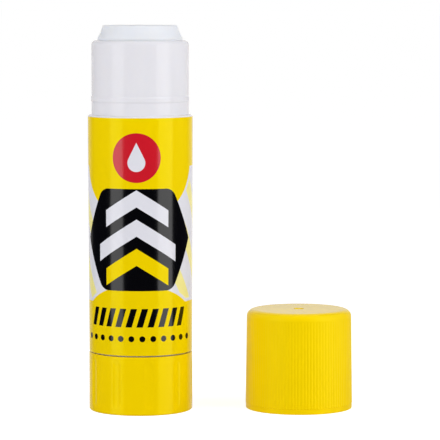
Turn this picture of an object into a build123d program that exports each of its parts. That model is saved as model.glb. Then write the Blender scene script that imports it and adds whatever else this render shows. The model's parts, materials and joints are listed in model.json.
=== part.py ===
from build123d import *
import math
import os

# A twist-up glue stick, standing open beside its cap.
# Millimetres, Z up. The origin is the middle of the base that the stick stands on.

# Gaps between pieces that fit together
knob_gap = 0.10  # knob round the barrel's spigot, on each side
seam_gap = 0.30  # between the knob's top and the barrel's foot
bore_gap = 0.25  # carrier and glue in the barrel's bore, and round its guide ribs
thread_gap = 0.20  # all round the spindle's thread in its nut
bead_gap = 0.15  # above and below the snap bead in the knob's groove
socket_gap = 0.05  # spindle's square foot in the knob's socket
cap_gap = 0.20  # cap's bore round the neck, on each side
cap_seat_gap = 0.20  # cap's mouth above the shoulder when it is on
head_gap = 1.00  # cap's ceiling above the glue when it is on
seal_gap = 0.25  # cap's sealing ring round the glue's flank when it is on
overrun = 1.0  # how far a cutter runs past the face that it leaves

# Twist knob
knob_proud = 0.05  # of the label, on each side
knob_h = 14.6
knob_wall = 1.2
knob_floor = 1.6
knob_edge_round = 0.45
knob_lip_chamfer = 0.2
foot_ring_w = 2.4
foot_pad_d = 7.0
foot_recess = 1.2
hub_d = 10.0
hub_setback = 0.1
web_count = 6
web_t = 1.0
web_clear = 0.8
flute_count = 10
flute_r = 4.4
flute_depth = 0.2
flute_top_setback = 1.0
flute_foot_setback = 1.6
flute_phase_deg = -80.0

# Barrel
body_h = 59.15
shoulder_w = 0.85
body_taper = 0.2  # of its radius, from the shoulder to the foot
body_edge_chamfer = 0.15
shoulder_round = 0.4
neck_d = 24.3
neck_h = 18.45
neck_wall = 1.3
neck_root_round = 0.3
rim_round = 1.1
neck_bead_h = 0.13
neck_bead_w = 1.55
neck_bead_rise = 3.9
spigot_h = 8.5
spigot_chamfer = 0.3
spigot_bead_h = 0.25
spigot_bead_w = 1.6
spigot_bead_rise = 2.5
guide_count = 4
guide_w = 0.9
guide_h = 0.5
guide_top_setback = 2.5
guide_foot_setback = 1.0
guide_phase_deg = 45.0

# Label
film_t = 0.1
label_top_margin = 0.05
label_foot_margin = 0.05
lap_w = 4.0
lap_back_deg = 90.0

# Spindle
plug_w = 5.4
plug_floor_gap = 0.3
flange_d = 12.0
flange_t = 1.4
core_d = 5.4
crest_d = 7.8
lead = 4.5
root_w = 2.0
crest_w = 1.0
thread_sink = 0.3
thread_start = 1.6
thread_end = 1.6
spindle_setback = 4.0
tip_chamfer = 0.6

# Carrier
carrier_rise = 3.7  # above the spindle's flange at its lowest
carrier_h = 18.0
cup_depth = 4.0
cup_wall = 0.9
cup_floor = 1.4
cup_lip_w = 0.4
cup_lip_h = 0.8
nut_d = 11.6
nut_h = 12.0
nut_turns = 1.5
gusset_count = 4
gusset_t = 1.0
gusset_h = 5.0

# Glue
head_h = 3.75
head_d = 18.5
head_round = 0.25
flank_start = 0.5
flank_sag = 0.2
glue_bore_gap = 0.4
glue_tip_gap = 1.2

# Cap
cap_mouth_wall = 1.1
cap_crown_wall = 0.775
cap_ceiling = 2.0
crown_round = 1.8
collar_h = 0.15
lip_h = 1.4
mouth_chamfer = 0.3
grip_count = 104
grip_depth = 0.15
grip_groove_w = 0.5
cap_bead_h = 0.15
cap_bead_w = 1.0
cap_bead_clear = 0.1
crown_step_w = 0.4
crown_step_lift = 0.5
seal_wall = 0.8
seal_lift = 1.0
gate_d = 2.6
gate_depth = 0.25
gate_pip_d = 0.9
gate_pip_h = 0.15
cap_stand_x = 39.8
cap_stand_y = 2.2

# Radii and heights that follow from the values above
neck_r = neck_d / 2
shoulder_r = neck_r + shoulder_w
foot_r = shoulder_r - body_taper
knob_r = foot_r + film_t + knob_proud
knob_inner_r = knob_r - knob_wall
spigot_r = knob_inner_r - knob_gap
bore_r = neck_r - neck_wall
carrier_r = bore_r - bore_gap
glue_r = bore_r - bore_gap
cup_r = carrier_r - cup_wall
cup_lip_r = cup_r - cup_lip_w
crest_r = crest_d / 2
core_r = core_d / 2
foot_z = knob_h + seam_gap
shoulder_z = foot_z + body_h
rim_z = shoulder_z + neck_h
spigot_end_z = foot_z - spigot_h
spigot_bead_z = spigot_end_z + spigot_bead_rise
neck_bead_z = shoulder_z + neck_bead_rise
hub_top_z = knob_h - hub_setback
flange_top_z = hub_top_z + flange_t
spindle_top_z = rim_z - spindle_setback
head_z = rim_z + head_h
carrier_foot_z = flange_top_z + carrier_rise
cup_rim_z = carrier_foot_z + carrier_h
cup_floor_z = cup_rim_z - cup_depth
nut_foot_z = cup_floor_z - nut_h
cap_depth = neck_h + head_h + head_gap - cap_seat_gap
cap_h = cap_depth + cap_ceiling
cap_inner_r = neck_r + cap_gap
mouth_r = cap_inner_r + cap_mouth_wall
crown_r = cap_inner_r + cap_crown_wall


def turned(outline):
    """Solid turned about Z from a closed half outline, with radius across and height up."""
    return revolve(Plane.XZ * make_face(outline), axis=Axis.Z)


def disc(radius, low, high):
    """Upright cylinder about Z between two heights."""
    return Pos(0, 0, low) * Cylinder(radius, high - low, align=(Align.CENTER, Align.CENTER, Align.MIN))


def upright_bar(size_x, size_y, low, high, x=0):
    """Upright bar between two heights, its middle at a distance from Z along X."""
    bar = Box(size_x, size_y, high - low, align=(Align.CENTER, Align.CENTER, Align.MIN))
    return Pos(x, 0, low) * bar


def around(count, piece, phase_deg=0):
    """Copies of a piece, evenly spaced round Z."""
    return [Rot(0, 0, phase_deg + 360 / count * i) * piece for i in range(count)]


def thread_w(radius):
    """Width along Z of the spindle's thread ridge at a radius."""
    return root_w - (root_w - crest_w) * (radius - core_r) / (crest_r - core_r)


def helical_ridge(inner_r, outer_r, inner_w, outer_w, low, turns, phase_deg=0):
    """Left-handed ridge about Z whose middle starts at a height and rises one lead in each turn."""
    half_section = Polyline(
        (inner_r, -inner_w / 2),
        (outer_r, -outer_w / 2),
        (outer_r, outer_w / 2),
        (inner_r, inner_w / 2),
        close=True,
    )
    path = Helix(pitch=lead, height=lead * turns, radius=(inner_r + outer_r) / 2, lefthand=True)
    ridge = sweep(Plane.XZ * make_face(half_section), path=path, is_frenet=True)
    return Rot(0, 0, phase_deg - 360 * low / lead) * (Pos(0, 0, low) * ridge)


def guide_bars(radial_gap, side_gap, low, high):
    """Bars on the lines of the barrel's guide ribs, wider than the ribs by a gap."""
    reach = guide_h + radial_gap + overrun
    middle = bore_r - guide_h - radial_gap + reach / 2
    bar = upright_bar(reach, guide_w + 2 * side_gap, low, high, x=middle)
    return around(guide_count, bar, guide_phase_deg)


def flank_r(rise):
    """Radius of the glue's flank on its chord, at a rise above the barrel's rim."""
    slope = (glue_r - head_d / 2) / (head_h - head_round - flank_start)
    return glue_r - slope * (rise - flank_start)


def make_barrel():
    bead_low = spigot_bead_z - spigot_bead_w / 2
    bead_high = spigot_bead_z + spigot_bead_w / 2
    bead_r = spigot_r + spigot_bead_h
    outline = (
        Polyline(
            (bore_r, rim_z),
            (bore_r, spigot_end_z),
            (spigot_r - spigot_chamfer, spigot_end_z),
            (spigot_r, spigot_end_z + spigot_chamfer),
            (spigot_r, bead_low),
            (bead_r, bead_low + spigot_bead_h),
            (bead_r, bead_high - spigot_bead_h),
            (spigot_r, bead_high),
            (spigot_r, foot_z),
            (foot_r - body_edge_chamfer, foot_z),
            (foot_r, foot_z + body_edge_chamfer),
            (shoulder_r, shoulder_z - shoulder_round),
        )
        + CenterArc((shoulder_r - shoulder_round, shoulder_z - shoulder_round), shoulder_round, 0, 90)
        + Line((shoulder_r - shoulder_round, shoulder_z), (neck_r + neck_root_round, shoulder_z))
        + CenterArc((neck_r + neck_root_round, shoulder_z + neck_root_round), neck_root_round, 180, 90)
        + Line((neck_r, shoulder_z + neck_root_round), (neck_r, neck_bead_z - neck_bead_w / 2))
        + ThreePointArc(
            (neck_r, neck_bead_z - neck_bead_w / 2),
            (neck_r + neck_bead_h, neck_bead_z),
            (neck_r, neck_bead_z + neck_bead_w / 2),
        )
        + Line((neck_r, neck_bead_z + neck_bead_w / 2), (neck_r, rim_z - rim_round))
        + CenterArc((neck_r - rim_round, rim_z - rim_round), rim_round, 0, 90)
        + Line((neck_r - rim_round, rim_z), (bore_r, rim_z))
    )
    barrel = turned(outline)
    guides = guide_bars(0, 0, spigot_end_z + guide_foot_setback, rim_z - guide_top_setback)
    sleeve = disc(bore_r + neck_wall / 2, spigot_end_z, rim_z)
    return barrel + [bar & sleeve for bar in guides]


def make_label():
    cone_low = foot_z + body_edge_chamfer
    cone_high = shoulder_z - shoulder_round
    slope = (shoulder_r - foot_r) / (cone_high - cone_low)
    low = foot_z + label_foot_margin
    high = cone_high - label_top_margin
    low_r = foot_r + slope * (low - cone_low)
    high_r = foot_r + slope * (high - cone_low)

    def film(inner, sweep_deg):
        section = Polyline(
            (low_r + inner, low),
            (low_r + inner + film_t, low),
            (high_r + inner + film_t, high),
            (high_r + inner, high),
            close=True,
        )
        return revolve(Plane.XZ * make_face(section), axis=Axis.Z, revolution_arc=sweep_deg)

    lap_deg = math.degrees(lap_w / foot_r)
    lap = Rot(0, 0, lap_back_deg - lap_deg / 2) * film(film_t, lap_deg)
    return film(0, 360) + lap


def make_knob():
    groove_low = spigot_bead_z - spigot_bead_w / 2 - bead_gap
    groove_high = spigot_bead_z + spigot_bead_w / 2 + bead_gap
    groove_r = knob_inner_r + spigot_bead_h
    recess_r = knob_r - foot_ring_w
    outline = (
        Polyline(
            (0, 0),
            (foot_pad_d / 2, 0),
            (foot_pad_d / 2 + foot_recess, foot_recess),
            (recess_r - foot_recess, foot_recess),
            (recess_r, 0),
            (knob_r - knob_edge_round, 0),
        )
        + CenterArc((knob_r - knob_edge_round, knob_edge_round), knob_edge_round, -90, 90)
        + Polyline(
            (knob_r, knob_edge_round),
            (knob_r, knob_h - knob_lip_chamfer),
            (knob_r - knob_lip_chamfer, knob_h),
            (knob_inner_r + knob_lip_chamfer, knob_h),
            (knob_inner_r, knob_h - knob_lip_chamfer),
            (knob_inner_r, groove_high),
            (groove_r, groove_high - spigot_bead_h),
            (groove_r, groove_low + spigot_bead_h),
            (knob_inner_r, groove_low),
            (knob_inner_r, foot_recess + knob_floor),
            (hub_d / 2, foot_recess + knob_floor),
            (hub_d / 2, hub_top_z),
            (0, hub_top_z),
            (0, 0),
        )
    )
    knob = turned(outline)
    web_reach = knob_inner_r - hub_d / 2 + knob_wall
    web_middle = hub_d / 2 - knob_wall / 2 + web_reach / 2
    web = upright_bar(web_reach, web_t, foot_recess, spigot_end_z - web_clear, x=web_middle)
    knob += around(web_count, web)
    socket_w = plug_w + 2 * socket_gap
    knob -= upright_bar(socket_w, socket_w, foot_recess + knob_floor, hub_top_z + overrun)
    flute_x = knob_r - flute_depth + flute_r
    low = flute_foot_setback + flute_r * math.sqrt(2 * flute_depth / flute_r)
    high = knob_h - flute_top_setback - flute_r * math.sqrt(2 * flute_depth / flute_r)
    flute = Pos(flute_x, 0, 0) * (
        disc(flute_r, low, high)
        + Pos(0, 0, low) * Sphere(flute_r)
        + Pos(0, 0, high) * Sphere(flute_r)
    )
    return knob - around(flute_count, flute, flute_phase_deg)


def make_spindle():
    core = disc(core_r, flange_top_z, spindle_top_z)
    core = chamfer(core.edges().sort_by(Axis.Z)[-1], tip_chamfer)
    foot = upright_bar(plug_w, plug_w, foot_recess + knob_floor + plug_floor_gap, hub_top_z)
    flange = disc(flange_d / 2, hub_top_z, flange_top_z)
    inner_r = core_r - thread_sink
    thread_low = flange_top_z + thread_start
    turns = (spindle_top_z - thread_end - thread_low) / lead
    ridge = helical_ridge(inner_r, crest_r, thread_w(inner_r), thread_w(crest_r), thread_low, turns)
    return foot + flange + core + ridge


def make_carrier():
    skirt = disc(carrier_r, carrier_foot_z, cup_rim_z)
    skirt -= disc(cup_r, carrier_foot_z - overrun, cup_floor_z - cup_floor)
    skirt -= disc(cup_r, cup_floor_z, cup_rim_z - cup_lip_h)
    skirt -= disc(cup_lip_r, cup_rim_z - cup_lip_h, cup_rim_z + overrun)
    nut = disc(nut_d / 2, nut_foot_z, cup_floor_z)
    gusset_reach = cup_r - nut_d / 2 + cup_wall
    gusset_middle = nut_d / 2 - cup_wall / 2 + gusset_reach / 2
    gusset = upright_bar(
        gusset_reach,
        gusset_t,
        cup_floor_z - cup_floor - gusset_h,
        cup_floor_z - cup_floor / 2,
        x=gusset_middle,
    )
    carrier = skirt + nut + around(gusset_count, gusset)
    carrier -= disc(crest_r + thread_gap, nut_foot_z - overrun, cup_floor_z + overrun)
    tip_r = core_r + thread_gap
    outer_r = crest_r + thread_gap + thread_sink
    tip_w = lead - thread_w(tip_r) - 2 * thread_gap
    outer_w = lead - thread_w(outer_r) - 2 * thread_gap
    nut_low = nut_foot_z + outer_w / 2 + thread_gap
    carrier += helical_ridge(tip_r, outer_r, tip_w, outer_w, nut_low, nut_turns, phase_deg=180)
    notches = guide_bars(bore_gap, bore_gap, carrier_foot_z - overrun, cup_rim_z + overrun)
    return carrier - notches


def make_glue():
    head_r = head_d / 2
    hole_r = crest_r + glue_bore_gap
    hole_top_z = spindle_top_z + glue_tip_gap
    flank_low = rim_z + flank_start
    flank_high = head_z - head_round
    flank_middle = ((glue_r + head_r) / 2 - flank_sag, (flank_low + flank_high) / 2)
    outline = (
        Polyline(
            (0, head_z),
            (0, hole_top_z),
            (hole_r, hole_top_z),
            (hole_r, cup_floor_z),
            (cup_r, cup_floor_z),
            (cup_r, cup_rim_z - cup_lip_h),
            (cup_lip_r, cup_rim_z - cup_lip_h),
            (cup_lip_r, cup_rim_z),
            (glue_r, cup_rim_z),
            (glue_r, flank_low),
        )
        + ThreePointArc((glue_r, flank_low), flank_middle, (head_r, flank_high))
        + CenterArc((head_r - head_round, flank_high), head_round, 0, 90)
        + Line((head_r - head_round, head_z), (0, head_z))
    )
    glue = turned(outline)
    notches = guide_bars(bore_gap, bore_gap, cup_rim_z - overrun, rim_z - guide_top_setback + bore_gap)
    return glue - notches


def cap_grooves():
    """One wedge for each groove between the cap's grip ribs, on the slant of its wall."""
    top_z = cap_h - crown_round - collar_h
    slope = (mouth_r - crown_r) / (cap_h - crown_round - lip_h)
    outer_w = grip_groove_w * (grip_depth + overrun) / grip_depth
    wedge = Polyline(
        (mouth_r - grip_depth, 0),
        (mouth_r + overrun, -outer_w / 2),
        (mouth_r + overrun, outer_w / 2),
        close=True,
    )
    face = Pos(0, 0, lip_h) * make_face(wedge)
    slant = Vector(-slope, 0, 1)
    cutter = extrude(face, amount=(top_z - lip_h) * slant.length, dir=slant.normalized())
    return around(grip_count, cutter)


def make_cap():
    lip_r = mouth_r - grip_depth
    rim_in_cap = neck_h - cap_seat_gap
    bead_r = cap_inner_r - cap_bead_h
    bead_z = neck_bead_rise - cap_seat_gap - (neck_bead_w + cap_bead_w) / 2 - cap_bead_clear
    outline = (
        Polyline(
            (0, cap_depth),
            (cap_inner_r - crown_step_w, cap_depth),
            (cap_inner_r - crown_step_w, rim_in_cap + crown_step_lift),
            (cap_inner_r, rim_in_cap + crown_step_lift),
            (cap_inner_r, bead_z + cap_bead_w / 2),
        )
        + ThreePointArc(
            (cap_inner_r, bead_z + cap_bead_w / 2), (bead_r, bead_z), (cap_inner_r, bead_z - cap_bead_w / 2)
        )
        + Polyline(
            (cap_inner_r, bead_z - cap_bead_w / 2),
            (cap_inner_r, mouth_chamfer),
            (cap_inner_r + mouth_chamfer, 0),
            (lip_r - mouth_chamfer / 2, 0),
            (lip_r, mouth_chamfer / 2),
            (lip_r, lip_h),
            (mouth_r, lip_h),
            (crown_r, cap_h - crown_round),
        )
        + CenterArc((crown_r - crown_round, cap_h - crown_round), crown_round, 0, 90)
        + Polyline((crown_r - crown_round, cap_h), (0, cap_h), (0, cap_depth))
    )
    cap = turned(outline)
    cap -= cap_grooves()
    seal_low = rim_in_cap + seal_lift
    low_r = flank_r(seal_lift) + seal_gap
    high_r = flank_r(head_h) + seal_gap
    seal = Polyline(
        (low_r, seal_low),
        (low_r + seal_wall, seal_low),
        (low_r + seal_wall, cap_depth + cap_ceiling / 2),
        (high_r, cap_depth + cap_ceiling / 2),
        (high_r, cap_depth),
        close=True,
    )
    cap += turned(seal)
    cap -= disc(gate_d / 2, cap_h - gate_depth, cap_h + overrun)
    cap += disc(gate_pip_d / 2, cap_h - gate_depth, cap_h - gate_depth + gate_pip_h)
    return Pos(cap_stand_x, cap_stand_y, 0) * cap


pieces = {
    "barrel": make_barrel,
    "label": make_label,
    "twist_knob": make_knob,
    "spindle": make_spindle,
    "carrier": make_carrier,
    "glue": make_glue,
    "cap": make_cap,
}

os.makedirs("parts", exist_ok=True)
for name, make in pieces.items():
    export_step(make(), f"parts/{name}.step")
print("cap height", round(cap_h, 3), "shoulder", round(shoulder_z, 3), "rim", round(rim_z, 3))
print("carrier from", round(carrier_foot_z, 3), "to", round(cup_rim_z, 3), "glue top", round(head_z, 3))
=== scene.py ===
"""The looks of a twist-up glue stick that stands open beside its cap."""

import json
import logging
import math
from collections.abc import Callable, Sequence
from dataclasses import dataclass
from enum import Enum

import bmesh
import bpy
from mathutils import Matrix, Vector

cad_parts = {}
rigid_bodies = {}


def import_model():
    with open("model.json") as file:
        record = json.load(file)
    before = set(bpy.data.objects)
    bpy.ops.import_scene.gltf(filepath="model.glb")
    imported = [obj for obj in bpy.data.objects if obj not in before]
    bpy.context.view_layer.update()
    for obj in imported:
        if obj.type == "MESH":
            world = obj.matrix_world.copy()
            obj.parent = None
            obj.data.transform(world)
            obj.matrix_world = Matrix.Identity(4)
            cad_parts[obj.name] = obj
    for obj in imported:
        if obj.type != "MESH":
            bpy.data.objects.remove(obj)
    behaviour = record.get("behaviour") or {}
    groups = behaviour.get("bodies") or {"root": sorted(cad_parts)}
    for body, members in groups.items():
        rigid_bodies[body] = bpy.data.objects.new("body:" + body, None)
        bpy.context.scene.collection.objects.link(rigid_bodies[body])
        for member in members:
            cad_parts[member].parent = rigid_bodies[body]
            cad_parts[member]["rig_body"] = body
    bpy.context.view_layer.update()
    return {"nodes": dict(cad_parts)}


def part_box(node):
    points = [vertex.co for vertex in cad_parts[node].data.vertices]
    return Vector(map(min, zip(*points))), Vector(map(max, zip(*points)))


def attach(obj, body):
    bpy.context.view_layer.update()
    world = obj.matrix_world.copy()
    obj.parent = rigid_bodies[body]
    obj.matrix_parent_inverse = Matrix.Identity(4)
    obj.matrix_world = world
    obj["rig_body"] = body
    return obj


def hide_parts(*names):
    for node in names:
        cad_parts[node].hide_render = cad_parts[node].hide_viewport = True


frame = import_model()
MM = 0.001
LOG = logging.getLogger("glue_stick")
SAME_PLACE = 1e-8  # metres, between points of one corner
CLOSE = 1e-7  # metres, between points that count as one
SHARP_DEG = 34.0  # edges that turn more than this are shaded as edges
BAR_ROUND = 0.08  # millimetres, on the edges of webs and guide ribs

Colour = tuple[float, float, float, float]
Number = "Value | float"
YELLOW_SHEEN: Colour = (0.75, 0.95, 0.06, 1.0)


def paint(red: int, green: int, blue: int) -> Colour:
    """Colour for a shader from the red, green and blue that a screen shows, 0 to 255."""

    def linear(level: int) -> float:
        """One channel without the screen's curve."""
        share = level / 255
        return share / 12.92 if share <= 0.04045 else ((share + 0.055) / 1.055) ** 2.4

    return (linear(red), linear(green), linear(blue), 1.0)


@dataclass(frozen=True)
class Value:
    """A number that changes over a surface. Arithmetic on it adds Math nodes."""

    shader: "Shader"
    socket: bpy.types.NodeSocket

    def __add__(self, other: Number) -> "Value":
        """Sum."""
        return self.shader.math("ADD", self, other)

    def __sub__(self, other: Number) -> "Value":
        """Difference."""
        return self.shader.math("SUBTRACT", self, other)

    def __rsub__(self, other: Number) -> "Value":
        """Difference, with this value taken away."""
        return self.shader.math("SUBTRACT", other, self)

    def __mul__(self, other: Number) -> "Value":
        """Product."""
        return self.shader.math("MULTIPLY", self, other)

    def __truediv__(self, other: Number) -> "Value":
        """Quotient."""
        return self.shader.math("DIVIDE", self, other)

    def __neg__(self) -> "Value":
        """The value with its sign changed."""
        return self * -1.0

    def __abs__(self) -> "Value":
        """The value without its sign."""
        return self.shader.math("ABSOLUTE", self)

    __radd__ = __add__
    __rmul__ = __mul__

    def root(self) -> "Value":
        """Square root."""
        return self.shader.math("SQRT", self)

    def fraction(self) -> "Value":
        """What is left above the last whole number."""
        return self.shader.math("FRACT", self)

    def at_least(self, other: Number) -> "Value":
        """The larger of two values."""
        return self.shader.math("MAXIMUM", self, other)

    def at_most(self, other: Number) -> "Value":
        """The smaller of two values."""
        return self.shader.math("MINIMUM", self, other)

    def share(self) -> "Value":
        """The value held between 0 and 1."""
        return self.at_least(0.0).at_most(1.0)


class Shader:
    """A node tree, with one way to add any node."""

    def __init__(self, tree: bpy.types.NodeTree) -> None:
        """Starts an empty tree.

        Args:
            tree: the material's or the world's nodes.
        """
        self.tree = tree
        tree.nodes.clear()

    def node(
        self,
        kind: str,
        settings: dict[str, object] | None = None,
        inputs: dict[str | int, object] | None = None,
    ) -> bpy.types.Node:
        """Adds a node.

        Args:
            kind: the node's type.
            settings: what is set on the node itself, before its sockets.
            inputs: a value, Value or socket for each input, by name or number.

        Returns:
            The new node.
        """
        node = self.tree.nodes.new(kind)
        for key, value in (settings or {}).items():
            setattr(node, key, value)
        for key, value in (inputs or {}).items():
            source = value.socket if isinstance(value, Value) else value
            if isinstance(source, bpy.types.NodeSocket):
                self.tree.links.new(source, node.inputs[key])
            else:
                node.inputs[key].default_value = source
        return node

    def math(self, operation: str, *terms: Number) -> Value:
        """One Math node on these terms."""
        node = self.node("ShaderNodeMath", {"operation": operation}, dict(enumerate(terms)))
        return Value(self, node.outputs[0])

    def mix(self, share: Number, under: object, over: object) -> bpy.types.NodeSocket:
        """Blends two colours.

        Args:
            share: how much of the second shows, 0 to 1.
            under: the first colour, or its socket.
            over: the second colour, or its socket.

        Returns:
            The blended colour's socket.
        """
        node = self.node("ShaderNodeMix", {"data_type": "RGBA"}, {0: share, 6: under, 7: over})
        return node.outputs[2]

    def place(self) -> bpy.types.NodeSocket:
        """Where a point is on the object."""
        return self.node("ShaderNodeTexCoord").outputs["Object"]

    def along_axes(self) -> tuple[Value, Value, Value]:
        """Where a point is along X, Y and Z, in millimetres."""
        split = self.node("ShaderNodeSeparateXYZ", inputs={0: self.place()})
        return tuple(Value(self, out) / MM for out in split.outputs)

    def mottle(self, size: float, detail: float = 2.0, stretch: Sequence[float] = (1, 1, 1)) -> Value:
        """Soft random spots.

        Args:
            size: how far apart the spots are, in millimetres.
            detail: how many finer layers they have.
            stretch: how much longer they are along each axis.

        Returns:
            A value between 0 and 1, mostly near a half.
        """
        squeeze = tuple(1 / length for length in stretch)
        place = self.node("ShaderNodeVectorMath", {"operation": "MULTIPLY"}, {0: self.place(), 1: squeeze})
        noise = self.node(
            "ShaderNodeTexNoise",
            inputs={"Vector": place.outputs[0], "Scale": 1 / (size * MM), "Detail": detail, "Roughness": 0.5},
        )
        return Value(self, noise.outputs[0])

    def bump(self, height: Value, depth: float) -> bpy.types.NodeSocket:
        """Surface relief.

        Args:
            height: 0 at the bottom of the relief and 1 at its top.
            depth: the relief's depth in millimetres.

        Returns:
            The bent normal's socket.
        """
        node = self.node("ShaderNodeBump", inputs={"Strength": 1.0, "Distance": depth * MM, "Height": height})
        return node.outputs["Normal"]

    def output(self, surface: bpy.types.NodeSocket, kind: str = "ShaderNodeOutputMaterial") -> None:
        """Shows this surface."""
        self.node(kind, inputs={"Surface": surface})


def new_finish(name: str) -> tuple[bpy.types.Material, Shader]:
    """A new material and its empty shader."""
    material = bpy.data.materials.new(name)
    material.use_nodes = True
    return material, Shader(material.node_tree)


@dataclass(frozen=True)
class MouldedPlastic:
    """Glossy injection-moulded polypropylene with the faint orange peel of its mould.

    Args:
        name: the material's name.
        colour: its colour.
        gloss: its mean roughness.
        glow: share of the light that scatters inside the wall.
        tint_change: how much the colour drifts over the surface.
        relief: height of its orange peel and sink marks, in millimetres.
        sheen: the tint that strong pigment gives to its reflections.
    """

    name: str
    colour: Colour
    gloss: float = 0.3
    glow: float = 0.0
    tint_change: float = 0.05
    relief: float = 0.012
    sheen: Colour = (1.0, 1.0, 1.0, 1.0)

    def make(self) -> bpy.types.Material:
        """The finished material."""
        material, shader = new_finish(self.name)
        drift = shader.mottle(14, 1.0)
        dark = tuple(level * (1 - self.tint_change) for level in self.colour[:3]) + (1.0,)
        rub = shader.mottle(5, 4.0, (1, 1, 2.2))
        peel = shader.mottle(0.45, 2.0)
        sink = shader.mottle(7, 0.0, (1, 1, 3))
        height = peel * 0.16 + sink
        surface = shader.node(
            "ShaderNodeBsdfPrincipled",
            inputs={
                "Base Color": shader.mix(drift, self.colour, dark),
                "Roughness": self.gloss - 0.05 + rub * 0.1,
                "Normal": shader.bump(height, self.relief),
                "Subsurface Weight": self.glow,
                "Subsurface Radius": (1.0, 0.85, 0.7),
                "Subsurface Scale": 0.6 * MM,
                "Specular Tint": self.sheen,
                "IOR": 1.49,
            },
        )
        shader.output(surface.outputs[0])
        return material


@dataclass(frozen=True)
class GluePaste:
    """Waxy white solid glue that was cast against a smooth cap.

    Args:
        name: the material's name.
        colour: its colour.
    """

    name: str
    colour: Colour

    def make(self) -> bpy.types.Material:
        """The finished material."""
        material, shader = new_finish(self.name)
        cloud = shader.mottle(6, 3.0)
        cool = (self.colour[0] * 0.93, self.colour[1] * 0.96, self.colour[2], 1.0)
        grain = shader.mottle(0.25, 3.0)
        swell = shader.mottle(4.5, 1.0)
        surface = shader.node(
            "ShaderNodeBsdfPrincipled",
            inputs={
                "Base Color": shader.mix(cloud, self.colour, cool),
                "Roughness": 0.38 + shader.mottle(2.2, 3.0) * 0.14,
                "Normal": shader.bump(grain * 0.3 + swell, 0.03),
                "Subsurface Weight": 0.45,
                "Subsurface Radius": (0.9, 1.0, 1.15),
                "Subsurface Scale": 1.6 * MM,
                "IOR": 1.45,
            },
        )
        shader.output(surface.outputs[0])
        return material


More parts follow.
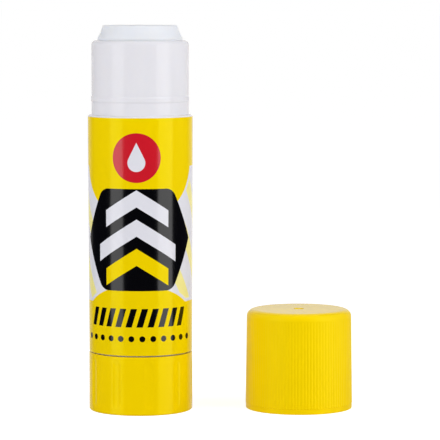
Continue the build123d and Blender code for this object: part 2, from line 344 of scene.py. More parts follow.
@dataclass(frozen=True)
class PrintedFilm:
    """Glossy film printed in flat inks, with plain shapes only.

    Distances are in millimetres. A shape is a distance that is negative inside it, from the arc along the
    film, 0 at the front and growing towards the cap, and the height above the table.

    Args:
        name: the material's name.
        radius: the film's mean radius, which turns angles into arcs.
        turned: how far the print's middle is round towards the left.
        lifted: how far the print's own heights start above the table.
        sheen: the tint that the yellow ink gives to its reflections.

    The other fields give the print's shapes: the band of the side panels, the two discs that bite into it and
    its slanting bars, then the black field, the red disc, the drop, and the rows at the foot.
    Names in _z are heights, in _lean how far a slanting edge moves sideways for each millimetre up.
    """

    name: str
    radius: float = 13.0
    turned: float = 0.6
    lifted: float = 0.45
    yellow: Colour = paint(243, 211, 0)
    pale: Colour = paint(246, 236, 150)
    white: Colour = paint(226, 226, 235)
    black: Colour = paint(4, 4, 7)
    red: Colour = paint(204, 24, 40)
    sheen: Colour = YELLOW_SHEEN
    band_z: float = 44.2
    band_half_h: float = 16.8
    shield_z: float = 66.0
    shield_r: float = 17.5
    mound_z: float = 8.0
    mound_r: float = 24.0
    bar_lean: float = 0.62
    bar_pitch: float = 9.2
    bar_across: float = 7.8
    bar_inset: float = 0.8
    field_z: float = 43.2
    field_half_h: float = 12.6
    field_half_w: float = 16.0
    field_lean: float = 0.52
    field_round: float = 1.6
    disc_z: float = 63.4
    disc_r: float = 6.1
    drop_z: float = 62.2
    drop_r: float = 2.2
    drop_tip_z: float = 67.16
    row_z: float = 23.9
    row_half_w: float = 13.75
    row_half_h: float = 2.3
    row_lean: float = 0.3
    row_pitch: float = 2.75
    dots_z: float = 18.7
    dots_half_w: float = 16.5
    dot_r: float = 0.75

    @staticmethod
    def ink(distance: Value) -> Value:
        """How much a shape covers, with an edge as soft as a print's."""
        return (0.5 - distance / 0.07).share()

    @staticmethod
    def spot(across: Value, up: Value, radius: float) -> Value:
        """A disc about the point where both distances are 0."""
        return (across * across + up * up).root() - radius

    @staticmethod
    def block(across: Value, up: Value, half_w: float, half_h: float) -> Value:
        """A rectangle about the point where both distances are 0."""
        return (abs(across) - half_w).at_least(abs(up) - half_h)

    def side_panels(self, arc: Value, up: Value) -> tuple[Value, Value]:
        """Draws the sides and the back.

        Args:
            arc: distance along the film.
            up: height.

        Returns:
            The white ground, and the pale bars on it.
        """
        band = abs(up - self.band_z) - self.band_half_h
        shield = self.spot(arc, up - self.shield_z, self.shield_r)
        mound = self.spot(arc, up - self.mound_z, self.mound_r)
        ground = band.at_least(-shield).at_least(-mound)
        slant = ((arc + up * self.bar_lean) / self.bar_pitch).fraction()
        bars = (abs(slant - 0.5) - 0.2) * self.bar_across
        return ground, bars.at_least(ground + self.bar_inset)

    def field(self, arc: Value, up: Value) -> Value:
        """Draws the black six-sided field at the front, with softened corners.

        Args:
            arc: distance along the film.
            up: height.

        Returns:
            The field's shape.
        """
        off = abs(up - self.field_z)
        flat = off - self.field_half_h
        point = (abs(arc) + off * self.field_lean - self.field_half_w) * 0.887
        outer = (flat + self.field_round).at_least(0.0)
        inner = (point + self.field_round).at_least(0.0)
        return (outer * outer + inner * inner).root() - self.field_round

    @staticmethod
    def chevron(arc: Value, up: Value, level: float, half_w: float) -> Value:
        """An upward chevron on the black field."""
        arm = abs(up - level + abs(arc) * 0.62) - 2.1
        return (arm * 0.85).at_least(abs(arc) - half_w)

    def drop(self, arc: Value, up: Value) -> Value:
        """Draws the drop in the red disc.

        Args:
            arc: distance along the film.
            up: height.

        Returns:
            A disc and the cone that stands on it.
        """
        low = self.spot(arc, up - self.drop_z, self.drop_r)
        cone = abs(arc) * 0.896 - (self.drop_tip_z - up) * 0.444
        return low.at_most(cone.at_least(self.drop_z + 1.0 - up))

    def make(self) -> bpy.types.Material:
        """The finished material."""
        material, shader = new_finish(self.name)
        across, back, up = shader.along_axes()
        arc = shader.math("ARCTAN2", across, -back) * self.radius + self.turned
        up = up - self.lifted
        panels, bars = self.side_panels(arc, up)
        pitch = self.row_pitch
        slant = ((arc - (up - self.row_z) * self.row_lean) / pitch).fraction()
        bar_row = (abs(slant - 0.5) - 0.29) * pitch
        dot_row = self.spot(((arc / pitch).fraction() - 0.5) * pitch, up - self.dots_z, self.dot_r)
        row_frame = self.block(arc, up - self.row_z, self.row_half_w, self.row_half_h)
        layers = (
            (panels, self.white),
            (bars, self.pale),
            (self.field(arc, up), self.black),
            (self.chevron(arc, up, 53.4, 8.2), self.white),
            (self.chevron(arc, up, 46.2, 10.4), self.white),
            (self.chevron(arc, up, 39.0, 8.2), self.yellow),
            (self.spot(arc, up - self.disc_z, self.disc_r), self.red),
            (self.drop(arc, up), self.white),
            (bar_row.at_least(row_frame), self.black),
            (dot_row.at_least(abs(arc) - self.dots_half_w), self.black),
        )
        colour = self.yellow
        bare = 1.0
        for shape, ink in layers:
            cover = self.ink(shape)
            colour = shader.mix(cover, colour, ink)
            bare = bare.at_least(cover) if ink is self.yellow else (1 - cover) * bare
        wrap = shader.mottle(9, 1.0, (1, 1, 3.5))
        grain = shader.mottle(0.6, 2.0)
        common = {
            "Base Color": colour,
            "Roughness": 0.11 + shader.mottle(6, 4.0) * 0.07,
            "Normal": shader.bump(wrap + grain * 0.06, 0.015),
            "IOR": 1.5,
        }
        neutral = shader.node("ShaderNodeBsdfPrincipled", inputs=common)
        tinted = shader.node("ShaderNodeBsdfPrincipled", inputs={**common, "Specular Tint": self.sheen})
        both = shader.node(
            "ShaderNodeMixShader", inputs={0: bare, 1: neutral.outputs[0], 2: tinted.outputs[0]}
        )
        shader.output(both.outputs[0])
        return material


@dataclass(frozen=True)
class Corner:
    """A corner of a half outline, in millimetres.

    Args:
        radius: distance from the axis.
        height: height above the table.
        setback: how far along its two edges the corner is rounded.
    """

    radius: float
    height: float
    setback: float = 0.0

    @property
    def place(self) -> Vector:
        """The corner in metres, in the plane of X and Z."""
        return Vector((self.radius * MM, 0.0, self.height * MM))


@dataclass
class Turning:
    """A skin turned about Z from a closed half outline.

    Args:
        corners: the outline's corners in order.
        steps: faces round the axis.
        support: how far from a corner an extra ring keeps the shading flat, in millimetres.
    """

    corners: Sequence[Corner]
    steps: int = 240
    support: float = 0.25

    def draw(self) -> bmesh.types.BMesh:
        """The rounded outline as edges in the plane of X and Z."""
        bm = bmesh.new()
        bm.faces.new([bm.verts.new(corner.place) for corner in self.corners])
        for setback in sorted({corner.setback for corner in self.corners if corner.setback}):
            marked = [corner.place for corner in self.corners if corner.setback == setback]
            ends = [v for v in bm.verts if any((v.co - place).length < SAME_PLACE for place in marked)]
            bmesh.ops.bevel(
                bm,
                geom=ends,
                offset=setback * MM,
                offset_type="OFFSET",
                segments=max(3, min(12, round(3 + setback * 5))),
                profile=0.5,
                affect="VERTICES",
                material=-1,
            )
        bmesh.ops.delete(bm, geom=bm.faces[:], context="FACES_ONLY")
        bmesh.ops.remove_doubles(bm, verts=bm.verts[:], dist=SAME_PLACE)
        axis = [e for e in bm.edges if all(v.co.x < SAME_PLACE for v in e.verts)]
        bmesh.ops.delete(bm, geom=axis, context="EDGES")
        self.add_supports(bm)
        return bm

    def add_supports(self, bm: bmesh.types.BMesh) -> None:
        """Splits each long edge near both its ends."""
        near = self.support * MM
        for edge in [e for e in bm.edges if e.calc_length() > 4 * near]:
            start, end = edge.verts
            length = edge.calc_length()
            rest, _ = bmesh.utils.edge_split(edge, start, near / length)
            longer = max((edge, rest), key=lambda e: e.calc_length())
            if end in longer.verts:
                bmesh.utils.edge_split(longer, end, near / longer.calc_length())

    def spin(self, bm: bmesh.types.BMesh) -> None:
        """Turns the drawn outline through an eighth, doubles that three times and closes the skin."""
        bmesh.ops.spin(
            bm,
            geom=bm.verts[:] + bm.edges[:],
            cent=(0, 0, 0),
            axis=(0, 0, 1),
            dvec=(0, 0, 0),
            angle=math.tau / 8,
            steps=self.steps // 8,
            use_merge=False,
        )
        for share in (8, 4, 2):
            copied = bmesh.ops.duplicate(bm, geom=bm.verts[:] + bm.edges[:] + bm.faces[:])["geom"]
            bmesh.ops.rotate(
                bm,
                verts=[item for item in copied if isinstance(item, bmesh.types.BMVert)],
                cent=(0, 0, 0),
                matrix=Matrix.Rotation(math.tau / share, 3, "Z"),
            )
        bmesh.ops.remove_doubles(bm, verts=bm.verts[:], dist=CLOSE)
        bmesh.ops.recalc_face_normals(bm, faces=bm.faces[:])


def add_rings(bm: bmesh.types.BMesh, heights: Sequence[float], beyond: float) -> None:
    """Splits an outline's outer edges at some heights.

    Args:
        bm: the drawn outline.
        heights: where the new points are, in millimetres.
        beyond: the radius that an edge lies outside of to be split, in millimetres.
    """
    for level in [height * MM for height in heights]:
        for edge in [e for e in bm.edges if min(v.co.x for v in e.verts) > beyond * MM]:
            low, high = sorted(edge.verts, key=lambda v: v.co.z)
            if low.co.z + CLOSE < level < high.co.z - CLOSE:
                bmesh.utils.edge_split(edge, low, (level - low.co.z) / (high.co.z - low.co.z))


def reshape(bm: bmesh.types.BMesh, radius_at: Callable[[float, float, float], float]) -> None:
    """Moves each point of a turned skin in or out.

    Args:
        bm: the skin.
        radius_at: gives a point's new radius from its radius, angle and height, in millimetres and radians.
    """
    for vert in bm.verts:
        radius = math.hypot(vert.co.x, vert.co.y)
        if radius > CLOSE:
            angle = math.atan2(vert.co.y, vert.co.x)
            grown = radius_at(radius / MM, angle, vert.co.z / MM) * MM / radius
            vert.co.x *= grown
            vert.co.y *= grown


def nearest_turn(angle: float, count: int, phase_deg: float) -> float:
    """Says how far an angle is from the nearest of some evenly spaced lines.

    Args:
        angle: the angle in radians.
        count: how many lines there are.
        phase_deg: where one of them is.

    Returns:
        The difference in radians.
    """
    pitch = math.tau / count
    return (angle - math.radians(phase_deg) + pitch / 2) % pitch - pitch / 2


def add_bars(bm: bmesh.types.BMesh, count: int, size: Vector, middle: Vector, phase_deg: float) -> None:
    """Adds upright bars round Z, with softened edges.

    Args:
        bm: the mesh to add to.
        count: how many.
        size: a bar's size outwards, sideways and up, in millimetres.
        middle: the middle of a bar on the line of X, in millimetres.
        phase_deg: where the first one is.
    """
    for i in range(count):
        turn = Matrix.Rotation(math.radians(phase_deg + 360 / count * i), 4, "Z")
        place = turn @ Matrix.Translation(middle * MM) @ Matrix.Diagonal(size * MM).to_4x4()
        made = bmesh.ops.create_cube(bm, size=1.0, matrix=place)["verts"]
        edges = list({e for v in made for e in v.link_edges})
        bmesh.ops.bevel(
            bm,
            geom=edges,
            offset=BAR_ROUND * MM,
            offset_type="OFFSET",
            segments=2,
            profile=0.5,
            affect="EDGES",
            material=-1,
        )


def levels(node: str) -> tuple[float, float]:
    """The lowest and highest point of a CAD node, in millimetres."""
    low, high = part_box(node)
    return low.z / MM, high.z / MM


class Slot(Enum):
    """The record's material slots."""

    WHITE = "white_plastic"
    YELLOW = "yellow_plastic"
    FILM = "printed_film"
    GLUE = "glue_paste"


def finish_piece(
    bm: bmesh.types.BMesh, node: str, name: str, finish: bpy.types.Material
) -> bpy.types.Object:
    """Makes a mesh the piece that stands for a CAD node.

    Args:
        bm: the finished shape, which is used up.
        node: the CAD node that it replaces.
        name: the piece's name.
        finish: its material.

    Returns:
        The piece, riding on the node's body.
    """
    mesh = bpy.data.meshes.new(name)
    bm.to_mesh(mesh)
    bm.free()
    mesh.materials.append(finish)
    mesh.shade_smooth()
    mesh.set_sharp_from_angle(angle=math.radians(SHARP_DEG))
    piece = bpy.data.objects.new(name, mesh)
    bpy.context.scene.collection.objects.link(piece)
    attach(piece, frame["nodes"][node]["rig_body"])
    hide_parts(node)
    return piece


@dataclass
class Barrel:
    """The white tube: body, shoulder, neck with its snap bead, and the spigot for the knob."""

    finish: bpy.types.Material
    foot_z: float = 14.9
    foot_r: float = 12.8
    shoulder_z: float = 74.05
    shoulder_r: float = 13.0
    neck_r: float = 12.15
    bore_r: float = 10.85
    bead_z: float = 77.95
    bead_w: float = 1.55
    bead_flank: float = 0.3
    bead_h: float = 0.13
    spigot_r: float = 11.65
    clip_z: float = 8.9
    clip_w: float = 1.6
    clip_h: float = 0.25
    guide_w: float = 0.9
    guide_h: float = 0.5

    def outline(self, low: float, high: float) -> list[Corner]:
        """Draws the tube.

        Args:
            low: height of the spigot's foot.
            high: height of the neck's rim.

        Returns:
            The corners of its half outline.
        """
        return [
            Corner(self.bore_r, high, 0.12),
            Corner(self.bore_r, low, 0.12),
            Corner(self.spigot_r, low, 0.3),
            Corner(self.spigot_r, self.clip_z - self.clip_w / 2),
            Corner(self.spigot_r + self.clip_h, self.clip_z - self.clip_w / 2 + self.clip_h, 0.15),
            Corner(self.spigot_r + self.clip_h, self.clip_z + self.clip_w / 2 - self.clip_h, 0.15),
            Corner(self.spigot_r, self.clip_z + self.clip_w / 2),
            Corner(self.spigot_r, self.foot_z),
            Corner(self.foot_r, self.foot_z, 0.15),
            Corner(self.shoulder_r, self.shoulder_z, 0.4),
            Corner(self.neck_r, self.shoulder_z, 0.3),
            Corner(self.neck_r, self.bead_z - self.bead_w / 2, 0.08),
            Corner(self.neck_r + self.bead_h, self.bead_z - self.bead_w / 2 + self.bead_flank, 0.1),
            Corner(self.neck_r + self.bead_h, self.bead_z + self.bead_w / 2 - self.bead_flank, 0.1),
            Corner(self.neck_r, self.bead_z + self.bead_w / 2, 0.08),
            Corner(self.neck_r, high, 1.1),
        ]

    def build(self) -> bpy.types.Object:
        """The dressed tube with its four guide ribs."""
        low, high = levels("barrel")
        turning = Turning(self.outline(low, high), steps=288)
        bm = turning.draw()
        turning.spin(bm)
        size = Vector((self.guide_h + 0.3, self.guide_w, high - low - 3.5))
        middle = Vector((self.bore_r - self.guide_h + size.x / 2, 0, (low + high) / 2 - 0.75))
        add_bars(bm, 4, size, middle, 45)
        return finish_piece(bm, "barrel", "barrel_tube", self.finish)


@dataclass
class Label:
    """The printed film round the barrel, with its lap at the back."""

    finish: bpy.types.Material
    foot_r: float = 12.8
    shoulder_r: float = 13.0
    foot_z: float = 14.95
    shoulder_z: float = 73.65
    film_t: float = 0.1
    lap_w: float = 4.0
    ramp_w: float = 0.5
    steps: int = 288

    def wall_r(self, height: float) -> float:
        """The barrel's radius at a height."""
        share = (height - self.foot_z) / (self.shoulder_z - self.foot_z)
        return self.foot_r + (self.shoulder_r - self.foot_r) * share

    def build(self) -> bpy.types.Object:
        """The dressed film, which starts at one side of the lap and ends on top at the other."""
        low, high = levels("label")
        low_r, high_r = self.wall_r(low), self.wall_r(high)
        lap = self.lap_w / self.foot_r
        start = math.pi / 2 - lap / 2
        corners = [
            Corner(low_r, low),
            Corner(low_r + self.film_t, low, 0.03),
            Corner(high_r + self.film_t, high, 0.03),
            Corner(high_r, high),
        ]
        bm = Turning(corners, steps=self.steps, support=0.1).draw()
        ends = [bm.edges[:]]
        bmesh.ops.rotate(bm, verts=bm.verts[:], cent=(0, 0, 0), matrix=Matrix.Rotation(start, 3, "Z"))
        turned = bmesh.ops.spin(
            bm,
            geom=bm.verts[:] + bm.edges[:],
            cent=(0, 0, 0),
            axis=(0, 0, 1),
            dvec=(0, 0, 0),
            angle=math.tau + lap,
            steps=self.steps,
            use_merge=False,
        )
        ends.append([item for item in turned["geom_last"] if isinstance(item, bmesh.types.BMEdge)])
        per_step = (math.tau + lap) / self.steps
        self.lift_lap(bm, start, lap, per_step)
        for edges in ends:
            bmesh.ops.edgeloop_fill(bm, edges=edges)
        bmesh.ops.recalc_face_normals(bm, faces=bm.faces[:])
        return finish_piece(bm, "label", "label_film", self.finish)

    def lift_lap(self, bm: bmesh.types.BMesh, start: float, lap: float, per_step: float) -> None:
        """Moves the film's last stretch out by its own thickness, over a short ramp.

        Args:
            bm: the spun film, whose points still follow each other in the order of the spin.
            start: the angle where the film starts.
            lap: the angle of the lap.
            per_step: the angle of one step.
        """
        bm.verts.ensure_lookup_table()
        rows = self.steps + 1
        per_row = len(bm.verts) // rows
        ramp = self.ramp_w / self.foot_r
        for index, vert in enumerate(bm.verts):
            turned = (index // per_row) * per_step
            share = min(1.0, max(0.0, (turned - (math.tau - ramp)) / ramp))
            radius = math.hypot(vert.co.x, vert.co.y)
            grown = 1 + share * self.film_t * MM / radius
            vert.co.x *= grown
            vert.co.y *= grown


@dataclass
class TwistKnob:
    """The yellow knob: a fluted cup with a recessed foot, webs and a square-socketed hub."""

    finish: bpy.types.Material
    knob_r: float = 12.95
    wall: float = 1.2
    floor_z: float = 2.8
    foot_ring_w: float = 2.4
    pad_r: float = 3.5
    recess: float = 1.2
    edge_round: float = 0.45
    clip_z: float = 8.9
    clip_w: float = 1.9
    clip_h: float = 0.25
    hub_r: float = 5.0
    hub_top: float = 14.5
    socket_w: float = 5.5
    web_top: float = 5.6
    flute_count: int = 10
    flute_r: float = 4.4
    flute_depth: float = 0.2
    flute_low: float = 2.93
    flute_high: float = 12.27
    flute_phase_deg: float = -80.0

    def outline(self, high: float) -> list[Corner]:
        """Draws the cup with its hub.

        Args:
            high: height of its rim.

        Returns:
            The corners of its half outline.
        """
        inner = self.knob_r - self.wall
        ring = self.knob_r - self.foot_ring_w
        return [
            Corner(0, 0),
            Corner(self.pad_r, 0, 0.15),
            Corner(self.pad_r + self.recess, self.recess, 0.15),
            Corner(ring - self.recess, self.recess, 0.15),
            Corner(ring, 0, 0.15),
            Corner(self.knob_r, 0, self.edge_round),
            Corner(self.knob_r, high, 0.22),
            Corner(inner, high, 0.2),
            Corner(inner, self.clip_z + self.clip_w / 2),
            Corner(inner + self.clip_h, self.clip_z + self.clip_w / 2 - self.clip_h),
            Corner(inner + self.clip_h, self.clip_z - self.clip_w / 2 + self.clip_h),
            Corner(inner, self.clip_z - self.clip_w / 2),
            Corner(inner, self.floor_z, 0.35),
            Corner(self.hub_r, self.floor_z, 0.35),
            Corner(self.hub_r, self.hub_top, 0.2),
            Corner(0, self.hub_top),
        ]

    def fluted(self, radius: float, angle: float, height: float) -> float:
        """Cuts the flutes with round cutters.

        Args:
            radius: a point's radius before.
            angle: its angle.
            height: its height.

        Returns:
            Its radius afterwards.
        """
        if radius < self.knob_r - self.edge_round:
            return radius
        past_end = max(self.flute_low - height, height - self.flute_high, 0.0)
        if past_end >= self.flute_r:
            return radius
        cutter = math.sqrt(self.flute_r**2 - past_end**2)
        middle = self.knob_r - self.flute_depth + self.flute_r
        off = nearest_turn(angle, self.flute_count, self.flute_phase_deg)
        inside = cutter**2 - (middle * math.sin(off)) ** 2
        if inside <= 0:
            return radius
        return min(radius, middle * math.cos(off) - math.sqrt(inside))

    def cut_socket(self, bm: bmesh.types.BMesh) -> None:
        """Opens the hub's top and sinks the square socket into it."""
        top = self.hub_top * MM
        half = self.socket_w / 2 * MM
        lid = [v for v in bm.verts if abs(v.co.z - top) < CLOSE and v.co.xy.length < half]
        bmesh.ops.delete(bm, geom=lid, context="VERTS")
        rim = [e for e in bm.edges if e.is_boundary]
        square = bmesh.ops.create_grid(
            bm, x_segments=1, y_segments=1, size=half, matrix=Matrix.Translation((0, 0, top))
        )["verts"]
        lip = list({e for v in square for e in v.link_edges})
        bmesh.ops.delete(bm, geom=list({f for v in square for f in v.link_faces}), context="FACES_ONLY")
        cut = bmesh.ops.subdivide_edges(bm, edges=lip, cuts=15)
        lip = [e for e in cut["geom"] if isinstance(e, bmesh.types.BMEdge)]
        bmesh.ops.bridge_loops(bm, edges=rim + lip)
        walls = bmesh.ops.extrude_edge_only(bm, edges=lip)["geom"]
        sunk = [item for item in walls if isinstance(item, bmesh.types.BMVert)]
        bmesh.ops.translate(bm, verts=sunk, vec=(0, 0, (self.floor_z - self.hub_top) * MM))
        floor = [e for e in walls if isinstance(e, bmesh.types.BMEdge) and e.is_boundary]
        bmesh.ops.edgeloop_fill(bm, edges=floor)

    def build(self) -> bpy.types.Object:
        """The dressed knob."""
        high = levels("twist_knob")[1]
        turning = Turning(self.outline(high), steps=360)
        bm = turning.draw()
        rows = [0.5 + 0.35 * i for i in range(int((high - 0.6) / 0.35))]
        add_rings(bm, rows, self.knob_r - 0.01)
        turning.spin(bm)
        reshape(bm, self.fluted)
        self.cut_socket(bm)
        reach = self.knob_r - self.wall - self.hub_r + 0.6
        size = Vector((reach, 1.0, self.web_top - self.recess - 0.3))
        middle = Vector((self.hub_r - 0.3 + reach / 2, 0, self.web_top - size.z / 2))
        add_bars(bm, 6, size, middle, 0)
        bmesh.ops.recalc_face_normals(bm, faces=bm.faces[:])
        return finish_piece(bm, "twist_knob", "knob_cup", self.finish)


@dataclass
class GlueColumn:
    """The glue, with the head that the cap formed and the notches that the guide ribs leave."""

    finish: bpy.types.Material
    glue_r: float = 10.6
    rim_z: float = 92.5
    flank_start: float = 0.5
    flank_sag: float = 0.2
    head_r: float = 9.25
    hole_r: float = 4.3
    hole_top: float = 89.7
    cup_r: float = 9.7
    lip_r: float = 9.3
    cup_rim: float = 37.6
    lip_h: float = 0.8
    notch_w: float = 1.4
    notch_r: float = 10.1
    notch_top: float = 90.25

    def outline(self, low: float, high: float) -> list[Corner]:
        """Draws the column with the hole for the spindle.

        Args:
            low: height of its foot.
            high: height of its head.

        Returns:
            The corners of its half outline.
        """
        flank = self.rim_z + self.flank_start
        middle = Corner((self.glue_r + self.head_r) / 2 - self.flank_sag, (flank + high) / 2, 1.2)
        return [
            Corner(0, high),
            Corner(0, self.hole_top),
            Corner(self.hole_r, self.hole_top, 0.3),
            Corner(self.hole_r, low),
            Corner(self.cup_r, low, 0.2),
            Corner(self.cup_r, self.cup_rim - self.lip_h),
            Corner(self.lip_r, self.cup_rim - self.lip_h),
            Corner(self.lip_r, self.cup_rim),
            Corner(self.glue_r, self.cup_rim),
            Corner(self.glue_r, flank, 0.2),
            middle,
            Corner(self.head_r, high, 0.25),
        ]

    def notched(self, radius: float, angle: float, height: float) -> float:
        """Cuts the four notches.

        Args:
            radius: a point's radius before.
            angle: its angle.
            height: its height.

        Returns:
            Its radius afterwards.
        """
        off = nearest_turn(angle, 4, 45)
        in_notch = abs(off) * self.glue_r < self.notch_w / 2
        if radius > self.notch_r and in_notch and self.cup_rim - 0.01 < height < self.notch_top:
            return self.notch_r
        return radius

    def build(self) -> bpy.types.Object:
        """The dressed glue."""
        low, high = levels("glue")
        turning = Turning(self.outline(low, high), steps=360)
        bm = turning.draw()
        add_rings(bm, (self.notch_top, self.notch_top - 0.05), self.notch_r)
        turning.spin(bm)
        reshape(bm, self.notched)
        return finish_piece(bm, "glue", "glue_column", self.finish)


@dataclass
class Cap:
    """The yellow push-on cap that stands beside the stick: ribbed wall, smooth crown, seal and gate mark."""

    finish: bpy.types.Material
    top_finish: bpy.types.Material
    stand_x: float = 39.8
    stand_y: float = 2.2
    bore_r: float = 12.35
    mouth_r: float = 13.45
    crown_r: float = 13.125
    crown_round: float = 1.8
    depth: float = 23.0
    lip_h: float = 1.4
    collar_h: float = 0.15
    bead_z: float = 2.325
    bead_w: float = 1.0
    bead_h: float = 0.15
    step_z: float = 18.75
    step_w: float = 0.4
    seal_z: float = 19.25
    seal_low_r: float = 10.625
    seal_high_r: float = 9.39
    seal_t: float = 0.8
    gate_r: float = 1.3
    gate_depth: float = 0.25
    pip_r: float = 0.45
    pip_h: float = 0.15
    rib_count: int = 104
    groove_depth: float = 0.06
    groove_w: float = 0.5
    run_out: float = 0.3
    wall_rings: tuple[float, ...] = (8.0, 14.5)
    top_facing: float = 0.7

    def outline(self, high: float) -> list[Corner]:
        """Draws the cap, from the pip on its top to the seal inside.

        Args:
            high: its height.

        Returns:
            The corners of its half outline.
        """
        gate_z = high - self.gate_depth
        lip_r = self.mouth_r - self.groove_depth
        return [
            Corner(0, gate_z + self.pip_h),
            Corner(self.pip_r, gate_z + self.pip_h, 0.06),
            Corner(self.pip_r, gate_z, 0.06),
            Corner(self.gate_r, gate_z, 0.1),
            Corner(self.gate_r, high, 0.12),
            Corner(self.crown_r, high, self.crown_round),
            Corner(self.mouth_r, self.lip_h, 0.02),
            Corner(lip_r, self.lip_h, 0.02),
            Corner(lip_r, 0, 0.2),
            Corner(self.bore_r, 0, 0.35),
            Corner(self.bore_r, self.bead_z - self.bead_w / 2, 0.15),
            Corner(self.bore_r - self.bead_h, self.bead_z, 0.3),
            Corner(self.bore_r, self.bead_z + self.bead_w / 2, 0.15),
            Corner(self.bore_r, self.step_z),
            Corner(self.bore_r - self.step_w, self.step_z, 0.1),
            Corner(self.bore_r - self.step_w, self.depth, 0.2),
            Corner(self.seal_low_r + self.seal_t, self.depth, 0.2),
            Corner(self.seal_low_r + self.seal_t, self.seal_z, 0.1),
            Corner(self.seal_low_r, self.seal_z, 0.1),
            Corner(self.seal_high_r, self.depth, 0.2),
            Corner(0, self.depth),
        ]

    def ribbed(self, high: float) -> Callable[[float, float, float], float]:
        """Cuts the grooves between the ribs.

        Args:
            high: the cap's height.

        Returns:
            What gives a point's new radius from its radius, angle and height.
        """
        top = high - self.crown_round - self.collar_h

        def radius_at(radius: float, angle: float, height: float) -> float:
            """A point's radius once the grooves are cut."""
            wall = self.mouth_r + (self.crown_r - self.mouth_r) * (height - self.lip_h) / (high - self.lip_h)
            if radius < wall - 0.1 or not self.lip_h < height < top:
                return radius
            off = nearest_turn(angle, self.rib_count, 0) * wall
            share = max(0.0, 1 - abs(off) / (self.groove_w / 2))
            ending = min(1.0, (top - height) / self.run_out)
            return radius - self.groove_depth * share * ending

        return radius_at

    def build(self) -> bpy.types.Object:
        """The dressed cap."""
        high = levels("cap")[1]
        turning = Turning(self.outline(high), steps=self.rib_count * 8)
        bm = turning.draw()
        top = high - self.crown_round - self.collar_h
        rings = (self.lip_h + 0.15, *self.wall_rings, top - self.run_out, top, top + 0.1)
        add_rings(bm, rings, self.crown_r - 0.05)
        turning.spin(bm)
        reshape(bm, self.ribbed(high))
        bmesh.ops.translate(bm, verts=bm.verts[:], vec=(self.stand_x * MM, self.stand_y * MM, 0))
        piece = finish_piece(bm, "cap", "cap_shell", self.finish)
        piece.data.materials.append(self.top_finish)
        for face in piece.data.polygons:
            on_top = face.normal.z > self.top_facing and face.center.z > self.depth * MM
            face.material_index = int(on_top)
        return piece


@dataclass
class Drive:
    """The spindle and the carrier inside, whose CAD shapes stay and are dressed."""

    finish: bpy.types.Material

    def dress(self) -> None:
        """Gives both the white plastic."""
        for node in ("spindle", "carrier"):
            mesh = frame["nodes"][node].data
            mesh.materials.clear()
            mesh.materials.append(self.finish)


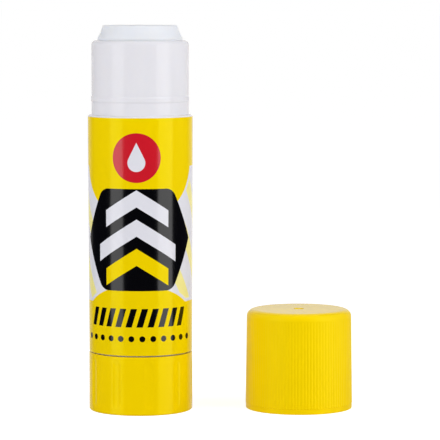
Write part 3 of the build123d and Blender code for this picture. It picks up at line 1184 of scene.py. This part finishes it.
@dataclass
class Studio:
    """A white table, a soft surround, tall softboxes and fills at both sides, a drape and the camera.

    Args:
        world_level: how bright the surround lights the object.
        table_level: how pale the table is.
        camera_at: where the camera is, in millimetres.
        pitch_deg: how far it looks down.
        lens: its focal length in millimetres.
        lamp_distance: how far each softbox stands from the stick, in metres.
        lamp_height: how tall a softbox is, in metres.
        lamp_top: how high its top is above the table, in metres.
        drape_r: the drape's radius in metres.
        drape_h: how tall the drape is, in metres.
        drape_z: the height of its middle, in metres.
    """

    world_level: float = 0.31
    table_level: float = 0.7
    camera_at: Vector = Vector((19.9, -650.0, 101.25))
    pitch_deg: float = 4.72
    lens: float = 213.1
    lamp_distance: float = 0.3
    lamp_height: float = 0.66
    lamp_top: float = 0.46
    drape_r: float = 0.34
    drape_h: float = 1.1
    drape_z: float = 0.15

    @staticmethod
    def seen_directly(shader: Shader) -> Value:
        """1 for rays that show the background, from the eye or off or through a surface."""
        path = shader.node("ShaderNodeLightPath")
        kinds = ("Is Camera Ray", "Is Glossy Ray", "Is Transmission Ray")
        seen = [Value(shader, path.outputs[kind]) for kind in kinds]
        return (seen[0] + seen[1] + seen[2]).share()

    def surround(self) -> None:
        """A pale world that is white where it is seen."""
        world = bpy.data.worlds.new("surround")
        bpy.context.scene.world = world
        world.use_nodes = True
        shader = Shader(world.node_tree)
        level = self.world_level + self.seen_directly(shader) * (1 - self.world_level)
        back = shader.node("ShaderNodeBackground", inputs={"Color": (1, 1, 1, 1), "Strength": level})
        shader.output(back.outputs[0], "ShaderNodeOutputWorld")

    def table(self) -> None:
        """A wide white table that keeps the object's soft shadow."""
        bm = bmesh.new()
        bmesh.ops.create_grid(bm, x_segments=8, y_segments=8, size=30)
        mesh = bpy.data.meshes.new("table")
        bm.to_mesh(mesh)
        bm.free()
        material, shader = new_finish("white_table")
        level = self.table_level
        matte = shader.node("ShaderNodeBsdfDiffuse", inputs={"Color": (level, level, level, 1.0)})
        lift = self.seen_directly(shader) * (1 - level * self.world_level)
        glow = shader.node("ShaderNodeEmission", inputs={"Color": (1, 1, 1, 1), "Strength": lift})
        both = shader.node("ShaderNodeAddShader", inputs={0: matte.outputs[0], 1: glow.outputs[0]})
        shader.output(both.outputs[0])
        mesh.materials.append(material)
        table = bpy.data.objects.new("table", mesh)
        table.visible_glossy = False
        bpy.context.scene.collection.objects.link(table)

    def softbox(
        self, name: str, azimuth_deg: float, spread_deg: float, radiance: float, shown: bool = True
    ) -> None:
        """A tall softbox that faces the stick.

        Args:
            name: its name.
            azimuth_deg: its direction from the stick's front, growing towards the cap.
            spread_deg: how wide it looks from the stick.
            radiance: how bright its face is.
            shown: whether glossy surfaces mirror it.
        """
        distance, height = self.lamp_distance, self.lamp_height
        width = 2 * distance * math.tan(math.radians(spread_deg / 2))
        lamp = bpy.data.lights.new(name, "AREA")
        lamp.shape = "RECTANGLE"
        lamp.size = width
        lamp.size_y = height
        lamp.energy = radiance * math.pi * width * height
        box = bpy.data.objects.new(name, lamp)
        side = math.radians(azimuth_deg)
        middle_z = self.lamp_top - height / 2
        box.location = (distance * math.sin(side), -distance * math.cos(side), middle_z)
        box.rotation_euler = (math.radians(90), 0, side)
        box.visible_camera = False
        box.visible_glossy = shown
        bpy.context.scene.collection.objects.link(box)

    def drape(self) -> None:
        """A round wall outside the softboxes, dark in front and grey behind, that only gloss shows."""
        bm = bmesh.new()
        bmesh.ops.create_cone(
            bm, segments=96, radius1=self.drape_r, radius2=self.drape_r, depth=self.drape_h, cap_ends=False
        )
        bmesh.ops.translate(bm, verts=bm.verts[:], vec=(0, 0, self.drape_z))
        mesh = bpy.data.meshes.new("drape")
        bm.to_mesh(mesh)
        bm.free()
        material, shader = new_finish("grey_drape")
        back = (shader.along_axes()[1] / (self.drape_r / MM) - 0.6) / 0.4
        tone = shader.mix(back.share(), (0.02, 0.02, 0.025, 1.0), (0.9, 0.86, 0.84, 1.0))
        glow = shader.node("ShaderNodeEmission", inputs={"Color": tone, "Strength": 1.0})
        shader.output(glow.outputs[0])
        mesh.materials.append(material)
        drape = bpy.data.objects.new("drape", mesh)
        drape.visible_camera = False
        drape.visible_diffuse = False
        drape.visible_transmission = False
        drape.visible_shadow = False
        bpy.context.scene.collection.objects.link(drape)

    def camera(self) -> None:
        """The camera at the photograph's angle."""
        eye = bpy.data.cameras.new("camera")
        eye.lens = self.lens
        eye.sensor_width = 36
        eye.clip_start = 0.01
        eye.clip_end = 100
        holder = bpy.data.objects.new("camera", eye)
        holder.location = self.camera_at * MM
        holder.rotation_euler = (math.radians(90 - self.pitch_deg), 0, 0)
        bpy.context.scene.collection.objects.link(holder)
        bpy.context.scene.camera = holder

    def set_up(self) -> None:
        """Everything round the object."""
        bpy.context.scene.view_settings.view_transform = "Standard"
        self.surround()
        self.table()
        self.drape()
        self.softbox("left_softbox", -51.5, 29.5, 1.95)
        self.softbox("left_fill", -52, 70, 0.76, shown=False)
        self.softbox("right_softbox", 57.5, 35, 2.1)
        self.softbox("right_fill", 80, 60, 0.9, shown=False)
        self.camera()


def main() -> None:
    """Builds the pieces from the barrel outwards and sets them in the studio."""
    logging.basicConfig(level=logging.INFO, format="%(name)s: %(message)s")
    white = MouldedPlastic(
        "white_plastic",
        paint(231, 230, 236),
        gloss=0.13,
        glow=0.15,
        tint_change=0.03,
        relief=0.008,
        sheen=(0.7, 0.7, 0.7, 1.0),
    ).make()
    yellow = MouldedPlastic("yellow_plastic", paint(252, 216, 0), gloss=0.17, sheen=YELLOW_SHEEN).make()
    ribbed = MouldedPlastic(
        "ribbed_yellow", paint(253, 216, 0), gloss=0.36, relief=0.002, sheen=YELLOW_SHEEN
    ).make()
    film = PrintedFilm("printed_film").make()
    paste = GluePaste("glue_paste", paint(233, 234, 238)).make()
    for maker in (Barrel(white), Label(film), TwistKnob(yellow), GlueColumn(paste), Cap(ribbed, yellow)):
        piece = maker.build()
        LOG.info("%s has %d faces", piece.name, len(piece.data.polygons))
    Drive(white).dress()
    Studio().set_up()


if __name__ == "__main__":
    main()
